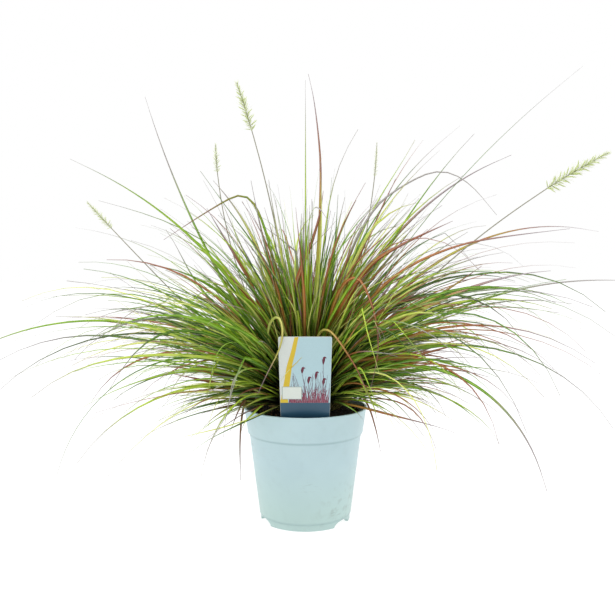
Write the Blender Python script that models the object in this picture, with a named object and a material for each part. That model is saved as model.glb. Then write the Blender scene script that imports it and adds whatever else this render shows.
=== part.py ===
"""Fountain grass clump in a round nursery pot: pot, soil, stick-in label, crown, leaves and flower stems.

Metres, +Z up. The origin is the centre of the pot's foot, on the surface that it stands on.
The label is at the front, towards -Y. Azimuths are in degrees from +X, anticlockwise seen from above.
"""

import math
import random
from collections import namedtuple

import bmesh
import bpy
from mathutils import Vector

# ---- Driving dimensions ----------------------------------------------------------------------------------

GAP = 0.0003  # clearance between pieces that touch
SEED = 11
SHARP_ANGLE = 40.0  # faces that meet at less than this are shaded as one smooth surface
UP = Vector((0, 0, 1))

# Pot
POT_SEGMENTS = 48
POT_HEIGHT = 0.157
RIM_RADIUS = 0.085
LIP_WIDTH = 0.003
LIP_HEIGHT = 0.0022
LIP_OVERHANG = 0.0008
LIP_ROUND = 0.0007
COLLAR_BOTTOM = 0.122
COLLAR_RADIUS = 0.0795
COLLAR_STEP = 0.0022
BASE_RADIUS = 0.0632
FOOT_HEIGHT = 0.0090
FOOT_RADIUS = 0.0617
FOOT_WIDTH = 0.0050
FOOT_ROUND = 0.0012
SHOULDER_SLOPE = 0.0004  # height over which the body steps out above the foot
COLLAR_SLOPE = 0.0015  # height over which the collar steps out from the body
UNDERSIDE = 0.0080
FLOOR = 0.0100
WALL = 0.0013
NOTCHES = 3
FIRST_NOTCH = -155.0
NOTCH_WIDTH = 0.034
NOTCH_HEIGHT = 0.0075
NOTCH_SIDES = 16
DRAIN_HOLES = 6
DRAIN_HOLE_RADIUS = 0.0042
DRAIN_HOLE_CIRCLE = 0.040
DRAIN_HOLE_SIDES = 8

# Potting soil
SOIL_EDGE = 0.1455
SOIL_TOP = 0.1550
SOIL_MOUND = ((0.070, 0.0035), (0.060, 0.0070), (0.050, SOIL_TOP - SOIL_EDGE))  # radius, rise from edge

# Crown, the woody base that the leaves grow from
CROWN_RADIUS = 0.046
CROWN_HEIGHT = 0.026
CROWN_RINGS = 5
CROWN_SEGMENTS = 24
ROOT_LIFT = 0.0004  # from the crown to the middle of a leaf root, which is tilted

# Stick-in label
LABEL_WIDTH = 0.068
LABEL_FOOT_WIDTH = 0.063
LABEL_VISIBLE = 0.120
LABEL_STAKE = 0.060
LABEL_SHOULDER = 0.020  # over this length the card narrows to its stake
STAKE_WIDTH = 0.018
STAKE_POINT = 0.004
LABEL_THICKNESS = 0.0007
LABEL_CORNER = 0.002
LABEL_Y = -0.0685
LABEL_LEAN = 12.0

# Cross-sections of tufts, leaves and stems, and how they bend
TUFT_SIDES = 8
LEAF_SIDES = 6
STEM_SIDES = 8
TUFT_ROOT_WIDTH = 0.0075
TUFT_ROOT_THICKNESS = 0.0050
TUFT_TIP = 0.38  # a tuft's width at its tip, as a share of what its wedge allows there
LEAF_THICKNESS = 0.0012
LEAF_ROOT = 0.55  # a long leaf's width at its root and at its tip, as shares of its full width
LEAF_TIP = 0.12
STIFF_BASE = 1.25  # above 1, the base of a leaf bends less than the rest of it

# ---- Where the leaves and stems grow ---------------------------------------------------------------------

# A tier is a ring of leaf tufts on the crown. Each tuft's line leaves the crown at the angle `start` above
# the horizontal and bends down to `end` at its tip; `share` is how much of its wedge a tuft fills.
Tier = namedtuple("Tier", "root_radius azimuths start end length widest share thickness")


def around(first, last, count):
    """Evenly spaced azimuths from first to last, both included."""
    return [first + (last - first) * i / (count - 1) for i in range(count)]


TIERS = {
    # The two lowest rings leave the front open, where the label stands.
    "skirt": Tier(0.0400, around(-53, 233, 12), 31, -20, 0.300, 0.100, 0.74, 0.016),
    "low": Tier(0.0310, around(-55, 235, 12), 53, 8, 0.330, 0.110, 0.74, 0.020),
    "high": Tier(0.0205, around(22.5, 337.5, 8), 69, 38, 0.315, 0.105, 0.70, 0.022),
    "heart": Tier(0.0100, around(45, 315, 4), 81, 68, 0.285, 0.080, 0.52, 0.024),
}
SIDE_DROOP = {"skirt": 34.0, "low": 10.0}  # how much lower the right side hangs than the left, degrees
LENGTH_VARIES = 0.07
ANGLE_VARIES = 3.0

# A long leaf stands in the gap between two tufts of its ring: azimuth, root radius, start and end angles,
# length, width, and how far its tip swings round the plant.
Leaf = namedtuple("Leaf", "azimuth root_radius start end length width swing")
LONG_LEAVES = [
    Leaf(90.0, 0.0100, 86, 84, 0.430, 0.0040, 0),
    Leaf(0.0, 0.0100, 80, 37, 0.420, 0.0042, 0),
    Leaf(184.0, 0.0205, 56, 74, 0.442, 0.0046, 0),
    Leaf(225.0, 0.0205, 61, 19, 0.440, 0.0050, -3),
    Leaf(315.0, 0.0205, 57, 33, 0.529, 0.0040, 3),
    Leaf(270.0, 0.0205, 72, -21, 0.480, 0.0044, 3),
    Leaf(0.0, 0.0205, 76, 20, 0.430, 0.0048, 0),
    Leaf(169.1, 0.0310, 62, 6, 0.395, 0.0050, 2),
    Leaf(195.5, 0.0310, 41, -32, 0.449, 0.0044, 0),
    Leaf(10.9, 0.0310, 62, -13, 0.502, 0.0048, 0),
    Leaf(342.8, 0.0330, 44, -4, 0.429, 0.0046, 0),
    Leaf(90.0, 0.0310, 56, -37, 0.410, 0.0048, 0),
    Leaf(220.0, 0.0400, 44, -87, 0.430, 0.0054, 2),
    Leaf(320.0, 0.0400, 40, -75, 0.385, 0.0050, -2),
]

# A flower stem ends in a bottlebrush spike: azimuth, root radius, start and end angles, length of the bare
# stem, and the spike's length and width.
Stem = namedtuple("Stem", "azimuth root_radius start end length spike_length spike_width")
FLOWER_STEMS = [
    Stem(180.0, 0.0100, 85, 71, 0.357, 0.067, 0.021),
    Stem(140.5, 0.0205, 49, 88, 0.348, 0.042, 0.013),
    Stem(168.5, 0.0385, 42, 46, 0.337, 0.053, 0.014),
    Stem(45.0, 0.0205, 56, 87, 0.328, 0.052, 0.008),
    Stem(346.6, 0.0280, 52, 28, 0.398, 0.083, 0.024),
]
STEM_RADIUS = 0.0011
STEM_TIP_RADIUS = 0.0007


# ---- Helpers ---------------------------------------------------------------------------------------------


def clear_scene():
    for obj in list(bpy.data.objects):
        bpy.data.objects.remove(obj)


def finish(name, red, green, blue, roughness):
    """A non-metal material of this colour."""
    made = bpy.data.materials.new(name)
    made.use_nodes = True
    shader = made.node_tree.nodes["Principled BSDF"]
    shader.inputs["Base Color"].default_value = (red, green, blue, 1.0)
    shader.inputs["Roughness"].default_value = roughness
    shader.inputs["Metallic"].default_value = 0.0
    return made


def add_object(name, mesh_data, material=None):
    """Writes a bmesh to a new object in the scene."""
    mesh = bpy.data.meshes.new(name)
    bmesh.ops.recalc_face_normals(mesh_data, faces=mesh_data.faces)
    mesh_data.to_mesh(mesh)
    mesh_data.free()
    obj = bpy.data.objects.new(name, mesh)
    bpy.context.scene.collection.objects.link(obj)
    if material:
        mesh.materials.append(material)
    return obj


def smooth(obj):
    obj.data.shade_smooth()
    obj.data.set_sharp_from_angle(angle=math.radians(SHARP_ANGLE))


def direction(azimuth):
    a = math.radians(azimuth)
    return Vector((math.cos(a), math.sin(a), 0.0))


def turned(name, profile, segments, material):
    """A solid turned about Z from (radius, height) points, which start and end on the axis."""
    made = bmesh.new()
    verts = [made.verts.new((radius, 0.0, height)) for radius, height in profile]
    edges = [made.edges.new(pair) for pair in zip(verts, verts[1:])]
    bmesh.ops.spin(
        made, geom=verts + edges, cent=(0, 0, 0), axis=(0, 0, 1), angle=math.tau, steps=segments
    )
    bmesh.ops.remove_doubles(made, verts=made.verts, dist=1e-6)
    return add_object(name, made, material)


def cut(obj, cutter, name):
    """Takes the cutter's shape out of the object."""
    cutter.hide_render = True
    cutter.display_type = "WIRE"
    boolean = obj.modifiers.new(name, "BOOLEAN")
    boolean.operation = "DIFFERENCE"
    boolean.solver = "EXACT"
    boolean.object = cutter


def add_sweep(made, rings):
    """Adds a closed skin through rings of points, with flat ends."""
    loops = [[made.verts.new(point) for point in ring] for ring in rings]
    for lower, upper in zip(loops, loops[1:]):
        for i in range(len(lower)):
            j = (i + 1) % len(lower)
            made.faces.new((lower[i], lower[j], upper[j], upper[i]))
    made.faces.new(loops[0][::-1])
    made.faces.new(loops[-1])


def swept(name, rings, material):
    made = bmesh.new()
    add_sweep(made, rings)
    return add_object(name, made, material)


def ellipse(centre, side, up, width, thickness, sides):
    """Points on an ellipse of this full width along `side` and full thickness along `up`."""
    angles = [math.tau * i / sides for i in range(sides)]
    return [
        centre + side * (width / 2 * math.cos(a)) + up * (thickness / 2 * math.sin(a)) for a in angles
    ]


def crown_height(radius):
    """Height of the crown's domed top at this radius."""
    return SOIL_TOP + GAP + CROWN_HEIGHT * math.sqrt(max(0.0, 1.0 - (radius / CROWN_RADIUS) ** 2))


def arching_line(azimuth, root_radius, start, end, length, shares, swing=0.0):
    """Stations (point, side, up, radius, share) on a line that leaves the crown and arches over.

    shares are the stations' places along the line, from 0 to 1. The angle above the horizontal falls from
    start to end, slowly at first because the base of a leaf is its stiffest part.
    """
    steps = 120
    radius = root_radius
    height = crown_height(root_radius) + ROOT_LIFT
    line = [(radius, height, math.radians(start))]
    for i in range(steps):
        share = (i + 0.5) / steps
        angle = math.radians(start + (end - start) * share**STIFF_BASE)
        radius += math.cos(angle) * length / steps
        height += math.sin(angle) * length / steps
        line.append((radius, height, angle))
    stations = []
    for share in shares:
        radius, height, angle = line[round(share * steps)]
        facing = azimuth + swing * share**2
        out = direction(facing)
        side = direction(facing + 90)
        up = UP * math.cos(angle) - out * math.sin(angle)
        stations.append((out * radius + UP * height, side, up, radius, share))
    return stations


# ---- Pot -------------------------------------------------------------------------------------------------


def body_radius(height):
    """Outer radius of the pot's tapered body, between its foot and its collar."""
    top = COLLAR_RADIUS - COLLAR_STEP
    return BASE_RADIUS + (top - BASE_RADIUS) * (height - FOOT_HEIGHT) / (COLLAR_BOTTOM - FOOT_HEIGHT)


def inner_profile():
    """The pot's inside from the floor's edge up to the lip, as (radius, height)."""
    return [
        (body_radius(FLOOR) - WALL, FLOOR),
        (body_radius(COLLAR_BOTTOM) - WALL, COLLAR_BOTTOM - WALL),
        (COLLAR_RADIUS - WALL, COLLAR_BOTTOM + COLLAR_STEP - WALL),
        (RIM_RADIUS - LIP_WIDTH, POT_HEIGHT - LIP_HEIGHT),
    ]


def drain_cutters():
    """Wide arched notches through the foot ring, and round holes through the floor, as one cutter."""
    made = bmesh.new()
    for i in range(NOTCHES):
        azimuth = FIRST_NOTCH + 360 * i / NOTCHES
        out, side = direction(azimuth), direction(azimuth + 90)
        loops = []
        for radius in (FOOT_RADIUS - 2 * FOOT_WIDTH, FOOT_RADIUS + FOOT_WIDTH):
            loops.append(ellipse(out * radius, side, UP, NOTCH_WIDTH, 2 * NOTCH_HEIGHT, NOTCH_SIDES))
        add_sweep(made, loops)
    for i in range(DRAIN_HOLES):
        out = direction(FIRST_NOTCH + 360 * i / DRAIN_HOLES)
        hole = bmesh.ops.create_cone(
            made,
            cap_ends=True,
            segments=DRAIN_HOLE_SIDES,
            radius1=DRAIN_HOLE_RADIUS,
            radius2=DRAIN_HOLE_RADIUS,
            depth=FLOOR,
        )
        place = out * DRAIN_HOLE_CIRCLE + UP * FLOOR
        bmesh.ops.translate(made, vec=place, verts=hole["verts"])
    return add_object("drain_cutters", made)


def make_pot(material):
    outside = [
        (0.0, UNDERSIDE),
        (FOOT_RADIUS - FOOT_WIDTH - FOOT_ROUND, UNDERSIDE),
        (FOOT_RADIUS - FOOT_WIDTH, 0.0),
        (FOOT_RADIUS - FOOT_ROUND, 0.0),
        (FOOT_RADIUS, FOOT_ROUND),
        (FOOT_RADIUS, FOOT_HEIGHT - SHOULDER_SLOPE),
        (BASE_RADIUS, FOOT_HEIGHT),
        (body_radius(COLLAR_BOTTOM), COLLAR_BOTTOM - COLLAR_SLOPE),
        (COLLAR_RADIUS, COLLAR_BOTTOM),
        (RIM_RADIUS - LIP_OVERHANG, POT_HEIGHT - LIP_HEIGHT),
        (RIM_RADIUS, POT_HEIGHT - LIP_HEIGHT + LIP_OVERHANG / 2),
        (RIM_RADIUS, POT_HEIGHT - LIP_ROUND),
        (RIM_RADIUS - LIP_ROUND, POT_HEIGHT),
        (RIM_RADIUS - LIP_WIDTH + LIP_ROUND, POT_HEIGHT),
        (RIM_RADIUS - LIP_WIDTH, POT_HEIGHT - LIP_ROUND),
    ]
    inside = [*reversed(inner_profile()), (0.0, FLOOR)]
    pot = turned("pot", outside + inside, POT_SEGMENTS, material)
    cut(pot, drain_cutters(), "drainage")
    smooth(pot)


# ---- Potting soil and crown ------------------------------------------------------------------------------


def label_outline(grow=0.0):
    """Half widths of the label down its length, as (half width, distance below its top)."""
    half = LABEL_WIDTH / 2 + grow
    return [
        (half - LABEL_CORNER, -grow),
        (half, LABEL_CORNER - grow),
        (LABEL_FOOT_WIDTH / 2 + grow, LABEL_VISIBLE),
        (STAKE_WIDTH / 2 + grow, LABEL_VISIBLE + LABEL_SHOULDER),
        (STAKE_POINT / 2 + grow, LABEL_VISIBLE + LABEL_STAKE + grow),
    ]


def label_solid(name, grow, thickness, material=None):
    """The label as a flat plate that leans towards the front, with its visible part's foot at the soil."""
    lean = math.radians(LABEL_LEAN)
    down = Vector((0, math.sin(lean), -math.cos(lean)))
    facing = Vector((0, -math.cos(lean), -math.sin(lean)))
    foot = Vector((0, LABEL_Y, SOIL_EDGE))
    top = foot - down * LABEL_VISIBLE
    right = label_outline(grow)
    outline = right + [(-half, along) for half, along in reversed(right)]
    middle = [top + down * along + Vector((half, 0, 0)) for half, along in outline]
    faces = [[point + facing * thickness / 2 * face for point in middle] for face in (-1, 1)]
    return swept(name, faces, material)


def make_soil(material):
    floor, body_top, collar, lip = [Vector((radius - GAP, height)) for radius, height in inner_profile()]
    edge = collar.lerp(lip, (SOIL_EDGE - collar.y) / (lip.y - collar.y))
    profile = [
        (0.0, FLOOR + GAP),
        (floor.x, FLOOR + GAP),
        tuple(body_top),
        tuple(collar),
        tuple(edge),
        *[(radius, SOIL_EDGE + rise) for radius, rise in SOIL_MOUND],
        (0.0, SOIL_TOP),
    ]
    soil = turned("potting_soil", profile, POT_SEGMENTS, material)
    cut(soil, label_solid("label_slot_cutter", 2 * GAP, LABEL_THICKNESS + 4 * GAP), "label_slot")
    smooth(soil)


def make_crown(material):
    radii = [CROWN_RADIUS * math.cos(math.pi / 2 * i / CROWN_RINGS) for i in range(CROWN_RINGS)]
    dome = [(radius, crown_height(radius)) for radius in [*radii, 0.0]]
    profile = [(0.0, crown_height(CROWN_RADIUS)), *dome]
    smooth(turned("crown", profile, CROWN_SEGMENTS, material))


# ---- Leaves and flower stems -----------------------------------------------------------------------------


def eased(low, high, share):
    """From 0 at low to 1 at high, smoothly."""
    t = min(1.0, max(0.0, (share - low) / (high - low)))
    return t * t * (3 - 2 * t)


def tuft_size(tier, radius, share, spacing):
    """Full width and thickness of a tuft where it has come this share of its way out."""
    wedge = radius * math.radians(spacing) * tier.share
    fanned = TUFT_ROOT_WIDTH + tier.widest * eased(0.0, 0.55, share)
    thickened = TUFT_ROOT_THICKNESS + (tier.thickness - TUFT_ROOT_THICKNESS) * eased(0.0, 0.45, share)
    taper = 1 - (1 - TUFT_TIP) * eased(0.58, 1.0, share)
    return min(wedge, fanned) * taper, thickened * taper


def make_tufts(material):
    """One solid for each tuft: the space that the leaves of one division of the clump reach through."""
    chance = random.Random(SEED)
    shares = (0.0, 0.10, 0.24, 0.42, 0.62, 0.82, 1.0)
    for name, tier in TIERS.items():
        spacing = tier.azimuths[1] - tier.azimuths[0]
        for number, azimuth in enumerate(tier.azimuths, 1):
            length = tier.length * (1 + LENGTH_VARIES * chance.uniform(-1, 1))
            shift = ANGLE_VARIES * chance.uniform(-1, 1)
            droop = SIDE_DROOP.get(name, 0.0) * (1 + math.cos(math.radians(azimuth))) / 2
            start, end = tier.start + shift / 2, tier.end + shift - droop
            line = arching_line(azimuth, tier.root_radius, start, end, length, shares)
            rings = []
            for point, side, up, radius, share in line:
                width, thickness = tuft_size(tier, radius, share, spacing)
                rings.append(ellipse(point, side, up, width, thickness, TUFT_SIDES))
            smooth(swept(f"leaf_tuft_{name}_{number:02d}", rings, material))


def make_long_leaves(material):
    shares = [i / 10 for i in range(11)]
    for number, leaf in enumerate(LONG_LEAVES, 1):
        line = arching_line(
            leaf.azimuth, leaf.root_radius, leaf.start, leaf.end, leaf.length, shares, leaf.swing
        )
        rings = []
        for point, side, up, _, share in line:
            rise = LEAF_ROOT + (1 - LEAF_ROOT) * eased(0, 0.25, share)
            taper = 1 - (1 - LEAF_TIP) * eased(0.35, 1, share)
            thickness = LEAF_THICKNESS * (1 - 0.6 * share)
            rings.append(ellipse(point, side, up, leaf.width * rise * taper, thickness, LEAF_SIDES))
        smooth(swept(f"long_leaf_{number:02d}", rings, material))


def make_flower_stems(material):
    """Each stem and the spike that it carries grew as one piece, so they are one solid."""
    spike_shares = (0.0, 0.08, 0.22, 0.42, 0.64, 0.84, 0.96, 1.0)
    stem_shares = [i / 7 for i in range(7)]
    for number, stem in enumerate(FLOWER_STEMS, 1):
        whole = stem.length + stem.spike_length
        bare = stem.length / whole
        shares = [bare * s for s in stem_shares] + [bare + (1 - bare) * s for s in spike_shares]
        line = arching_line(stem.azimuth, stem.root_radius, stem.start, stem.end, whole, shares)
        rings = []
        for point, side, up, _, share in line:
            along = (share - bare) / (1 - bare)
            size = 2 * (STEM_RADIUS + (STEM_TIP_RADIUS - STEM_RADIUS) * share / bare)
            if along > 0.01:
                size = stem.spike_width * eased(-0.25, 0.22, along) * (1 - 0.86 * eased(0.30, 1.05, along))
            rings.append(ellipse(point, side, up, size, size, STEM_SIDES))
        smooth(swept(f"flower_stem_{number}", rings, material))


def main():
    clear_scene()
    make_pot(finish("pot_plastic", 0.53, 0.72, 0.74, 0.42))
    make_soil(finish("potting_soil", 0.020, 0.013, 0.009, 0.95))
    label_solid("plant_label", 0.0, LABEL_THICKNESS, finish("label_card", 0.62, 0.80, 0.82, 0.35))
    make_crown(finish("crown_sheath", 0.10, 0.11, 0.03, 0.80))
    leaf = finish("leaf_blade", 0.16, 0.24, 0.03, 0.55)
    make_tufts(leaf)
    make_long_leaves(leaf)
    make_flower_stems(finish("flower_spike", 0.46, 0.55, 0.20, 0.75))


main()
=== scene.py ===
# %% [markdown]
# # A potted clump of fountain grass
#
# Fountain grass is a tussock. Hundreds of narrow blades leave one woody crown, rise, arch over and hang.
# A few thin stems rise above them, and each ends in a soft bottlebrush flower spike. The clump grows in a
# nursery pot of pale plastic, with a printed stick-in label at the front.
#
# The solid model under this scene has the true sizes and places: the pot, the soil, the label, the crown, and
# a plain closed solid for each bundle of leaves. This lesson keeps those places and makes what the eye sees.
# It reads the line of each bundle back from its solid, and grows real blades along it.

import math
from functools import partial

import bmesh
import bpy
import numpy as np
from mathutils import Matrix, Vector, noise


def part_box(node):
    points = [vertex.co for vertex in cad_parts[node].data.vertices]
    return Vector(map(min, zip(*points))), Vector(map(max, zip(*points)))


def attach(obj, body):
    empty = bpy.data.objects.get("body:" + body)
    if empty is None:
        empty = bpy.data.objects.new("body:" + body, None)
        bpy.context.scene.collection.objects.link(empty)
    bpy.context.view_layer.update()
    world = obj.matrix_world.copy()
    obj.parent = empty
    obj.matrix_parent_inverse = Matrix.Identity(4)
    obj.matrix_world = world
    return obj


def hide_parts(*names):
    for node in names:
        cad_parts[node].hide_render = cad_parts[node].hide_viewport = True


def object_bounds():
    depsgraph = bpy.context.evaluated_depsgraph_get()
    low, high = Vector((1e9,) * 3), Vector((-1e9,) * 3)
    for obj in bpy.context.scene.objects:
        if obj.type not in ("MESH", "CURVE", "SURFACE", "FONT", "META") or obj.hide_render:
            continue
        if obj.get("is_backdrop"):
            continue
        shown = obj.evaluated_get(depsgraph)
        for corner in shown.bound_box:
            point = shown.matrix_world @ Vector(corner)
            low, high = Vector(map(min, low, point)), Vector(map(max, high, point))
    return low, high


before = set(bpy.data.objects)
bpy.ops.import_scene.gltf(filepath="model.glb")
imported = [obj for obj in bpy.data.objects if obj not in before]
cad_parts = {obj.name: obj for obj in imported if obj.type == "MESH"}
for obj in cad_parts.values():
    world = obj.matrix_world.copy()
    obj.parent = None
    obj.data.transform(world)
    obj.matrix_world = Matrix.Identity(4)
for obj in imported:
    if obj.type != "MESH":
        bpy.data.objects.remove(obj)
MM = 0.001
cad_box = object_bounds()
print(f"{len(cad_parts)} solids, box {[[round(value, 3) for value in corner] for corner in cad_box]}")

# %% [markdown]
# ## Helpers
#
# Colours are written as the sRGB hex values that a colour picker shows, and one function turns them into the
# linear values that Blender works in. One other function adds a node to any tree and gives back one of its
# outputs. An input that is given a socket is linked to it, and an input that is given a value is set. A new
# material or tree comes with this function, tied to its own nodes and called add.


# %% Colours and nodes
def linear(hex_colour):
    """Linear RGBA from an sRGB hex colour."""
    parts = [int(hex_colour[i : i + 2], 16) / 255 for i in (1, 3, 5)]
    return [c / 12.92 if c <= 0.04045 else ((c + 0.055) / 1.055) ** 2.4 for c in parts] + [1.0]


def feed(node, inputs):
    """Gives a node its inputs: a socket is linked, and a value is set."""
    for name, value in inputs.items():
        if isinstance(value, bpy.types.NodeSocket):
            node.id_data.links.new(value, node.inputs[name])
        else:
            node.inputs[name].default_value = value


FAMILIES = ("ShaderNode", "GeometryNode", "FunctionNode")  # what the names of Blender's nodes start with


def add_node(tree, kind, inputs=None, output=0, stops=(), **settings):
    """Adds a node and gives back an output. stops are a colour ramp's (place, hex colour) pairs."""
    family = next(family for family in FAMILIES if hasattr(bpy.types, family + kind))
    node = tree.nodes.new(family + kind)
    for name, value in settings.items():
        setattr(node, name, value)
    if stops:
        elements = node.color_ramp.elements
        elements[0].position, elements[1].position = stops[0][0], stops[-1][0]
        for place, _ in stops[1:-1]:
            elements.new(place)
        for element, (_, colour) in zip(elements, stops):
            element.color = linear(colour)
    feed(node, inputs or {})
    return node.outputs[output]


# A Mix node for colours has its factor, its two colours and its result at these numbers.
FACTOR, FIRST, SECOND, RESULT = 0, 6, 7, 2


def layered(add, colour, layers):
    """Lays (amount, colour) layers over a colour one after the other, as coats of paint."""
    for amount, over in layers:
        colour = add("Mix", {FACTOR: amount, FIRST: colour, SECOND: over}, RESULT, data_type="RGBA")
    return colour


def new_material(name):
    """A material, the function that adds a node to it, and its Principled shader."""
    material = bpy.data.materials.new(name)
    material.use_nodes = True
    tree = material.node_tree
    return material, partial(add_node, tree), tree.nodes["Principled BSDF"]


# %% Objects and Geometry Nodes
def new_object(name, mesh, *materials):
    obj = bpy.data.objects.new(name, mesh)
    bpy.context.scene.collection.objects.link(obj)
    for material in materials:
        mesh.materials.append(material)
    return obj


def from_bmesh(name, made, *materials):
    """Writes a bmesh to a new object, with its faces pointing out."""
    bmesh.ops.recalc_face_normals(made, faces=made.faces)
    mesh = bpy.data.meshes.new(name)
    made.to_mesh(mesh)
    made.free()
    return new_object(name, mesh, *materials)


def new_tree(name, *inputs):
    """Starts a Geometry Nodes tree with these (name, type, default) inputs, and one for its material.

    Gives back the function that adds a node to it, and the sockets of its inputs.
    """
    tree = bpy.data.node_groups.new(name, "GeometryNodeTree")
    tree.interface.new_socket("Geometry", in_out="INPUT", socket_type="NodeSocketGeometry")
    for label, kind, default in (*inputs, ("Material", "Material", None)):
        socket = tree.interface.new_socket(label, in_out="INPUT", socket_type="NodeSocket" + kind)
        if default is not None:
            socket.default_value = default
    tree.interface.new_socket("Geometry", in_out="OUTPUT", socket_type="NodeSocketGeometry")
    return partial(add_node, tree), tree.nodes.new("NodeGroupInput").outputs


def end_tree(add, geometry, given):
    """Realizes the instances, sets the material and ends the tree, which it gives back."""
    real = add("RealizeInstances", {"Geometry": geometry})
    done = add("SetMaterial", {"Geometry": real, "Material": given["Material"]})
    tree = done.id_data
    feed(tree.nodes.new("NodeGroupOutput"), {"Geometry": done})
    return tree


def plain(obj, name):
    """Turns an object with modifiers into a plain mesh object of this name."""
    bpy.context.view_layer.update()
    graph = bpy.context.evaluated_depsgraph_get()
    mesh = bpy.data.meshes.new_from_object(obj.evaluated_get(graph))
    mesh.name = name
    bpy.data.objects.remove(obj)
    return new_object(name, mesh)


def grown(name, source, tree, values):
    """Runs a Geometry Nodes tree on a source object, and keeps the result as a plain mesh."""
    modifier = source.modifiers.new("grow", "NODES")
    modifier.node_group = tree
    for item in tree.interface.items_tree:
        if item.in_out == "INPUT" and item.name in values:
            modifier[item.identifier] = values[item.name]
    return plain(source, name)


def joined(name, objects):
    """Joins objects into one mesh."""
    with bpy.context.temp_override(active_object=objects[0], selected_editable_objects=objects):
        bpy.ops.object.join()
    objects[0].name = objects[0].data.name = name
    return objects[0]


def stand_for(piece, slot, *nodes):
    """Makes a piece ride on the body, and lets it stand for these solids. slot is not used."""
    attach(piece, "root")
    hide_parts(*nodes)


def triangles(obj):
    return sum(len(face.vertices) - 2 for face in obj.data.polygons)


# %% [markdown]
# ## Camera, floor and light
#
# The camera looks slightly down from the label's side, from about the distance of a studio table. The floor
# is a light table, whose own light keeps it white under the plant. A bright even surround takes the shadows
# away, as in a shop's product picture. A large soft lamp overhead lights the upper side of each blade and
# leaves the inside of the clump dark. One more on each side brightens the edges of the pot, so that it reads
# as round.


# %% The camera
def add_camera(distance, height, sideways, pitch, lens):
    camera = bpy.data.cameras.new("camera")
    camera.lens = lens
    camera.sensor_width = 36.0
    camera.clip_start = 0.05
    obj = bpy.data.objects.new("camera", camera)
    obj.location = (sideways, -distance, height)
    obj.rotation_euler = (math.radians(90 - pitch), 0.0, 0.0)
    bpy.context.scene.collection.objects.link(obj)
    bpy.context.scene.camera = obj


add_camera(distance=1.075, height=0.370, sideways=0.003, pitch=4.1, lens=45.95)


# %% Floor, surround and lamps
WHITE = linear("#ffffff")


def add_lamp(name, place, target, size, watts):
    lamp = bpy.data.lights.new(name, "AREA")
    lamp.size = size
    lamp.energy = watts
    obj = bpy.data.objects.new(name, lamp)
    obj.location = place
    obj.rotation_euler = (Vector(target) - Vector(place)).to_track_quat("-Z", "Y").to_euler()
    bpy.context.scene.collection.objects.link(obj)


def add_floor(half, glow):
    """A light table: a matte sheet lit from below, so that no shadow on it is grey."""
    made = bmesh.new()
    corners = [(-half, -half, 0), (half, -half, 0), (half, half, 0), (-half, half, 0)]
    made.faces.new([made.verts.new(corner) for corner in corners])
    material, _, shader = new_material("opal_acrylic_light_table")
    feed(shader, {"Base Color": linear("#8c8c8c"), "Roughness": 0.9, "Specular IOR Level": 0.0})
    feed(shader, {"Emission Color": WHITE, "Emission Strength": glow})
    from_bmesh("floor", made, material)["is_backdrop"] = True


world = bpy.data.worlds.new("surround")
world.use_nodes = True
feed(world.node_tree.nodes["Background"], {"Color": WHITE, "Strength": 1.0})
bpy.context.scene.world = world
bpy.context.scene.view_settings.view_transform = "Standard"
add_floor(half=8.0, glow=0.85)
crown_low, crown_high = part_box("crown")
aim = (0.0, 0.0, crown_high.z)
add_lamp("overhead", (-0.4, -0.4, 1.9), aim, size=0.9, watts=20.0)
add_lamp("left", (-1.6, 0.1, 0.6), aim, size=1.0, watts=5.0)
add_lamp("right", (1.6, 0.1, 0.6), aim, size=1.0, watts=5.0)
print("camera, floor and three lamps")

# %% [markdown]
# ## The pot
#
# A nursery pot is moulded from a thin polypropylene wall. It tapers to a foot ring with three wide notches,
# where water drains away, and a wider collar at the top stiffens it. It could be put together from cylinders,
# but one profile turned about the axis gives every wall, step and rounded edge at once. The notches and the
# holes are then cut by Boolean.

# %% The pot's profile
_, pot_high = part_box("pot")
RIM = pot_high.x
TOP = pot_high.z
FLOOR = 10.0 * MM
TURNS = 128  # segments round the axis

POT_OUTSIDE = [
    (0.0, 8.0 * MM),
    (55.5 * MM, 8.0 * MM),
    (56.7 * MM, 0.0),
    (61.7 * MM, 0.0),
    (61.7 * MM, 8.6 * MM),
    (63.2 * MM, 9.0 * MM),
    (77.3 * MM, 120.5 * MM),
    (79.5 * MM, 122.0 * MM),
    (RIM - 0.8 * MM, TOP - 2.2 * MM),
    (RIM, TOP - 1.8 * MM),
    (RIM, TOP),
    (RIM - 3.0 * MM, TOP),
    (RIM - 3.0 * MM, TOP - 2.2 * MM),
]
POT_INSIDE = [(78.2 * MM, 122.9 * MM), (76.0 * MM, 120.7 * MM), (62.0 * MM, FLOOR), (0.0, FLOOR)]


def rounded(profile, radius, steps=3):
    """Rounds the corners of a profile of (radius, height) points, as a mould does."""
    made = [Vector(profile[0])]
    for before, corner, after in zip(profile, profile[1:], profile[2:]):
        before, corner, after = Vector(before), Vector(corner), Vector(after)
        reach = min(radius, (corner - before).length * 0.45, (after - corner).length * 0.45)
        start = corner + (before - corner).normalized() * reach
        end = corner + (after - corner).normalized() * reach
        for i in range(steps + 1):
            t = i / steps
            made.append(start * (1 - t) ** 2 + corner * 2 * t * (1 - t) + end * t * t)
    return made + [Vector(profile[-1])]


def around_axis(angle, radius, height):
    return Vector((radius * math.cos(angle), radius * math.sin(angle), height))


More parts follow.
